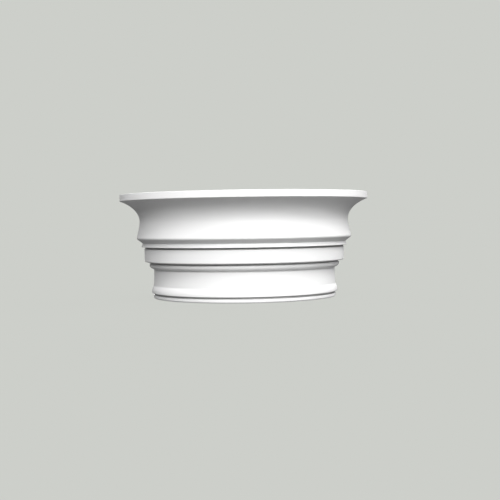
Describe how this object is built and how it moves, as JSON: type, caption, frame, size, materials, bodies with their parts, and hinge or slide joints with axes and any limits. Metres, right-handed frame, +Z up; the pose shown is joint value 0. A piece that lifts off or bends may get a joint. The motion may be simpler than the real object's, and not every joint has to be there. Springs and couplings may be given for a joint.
{
  "type": "half column capital",
  "caption": "Plain moulded half-round capital with a wide rim over a hollow, a belly, a flat band, a neck and a bead, cut flat for a wall.",
  "frame": {"origin": "middle of the bounding box on the plan, at the height of the underside", "axes": "+X across the width, to the right as seen from the front; +Y from the round front to the wall; +Z up"},
  "size_m": [0.37, 0.185, 0.154],
  "materials": {
    "primed_white": "matte"
  },
  "bodies": {
    "root": {"half_capital": "primed_white"}
  },
  "joints": []
}
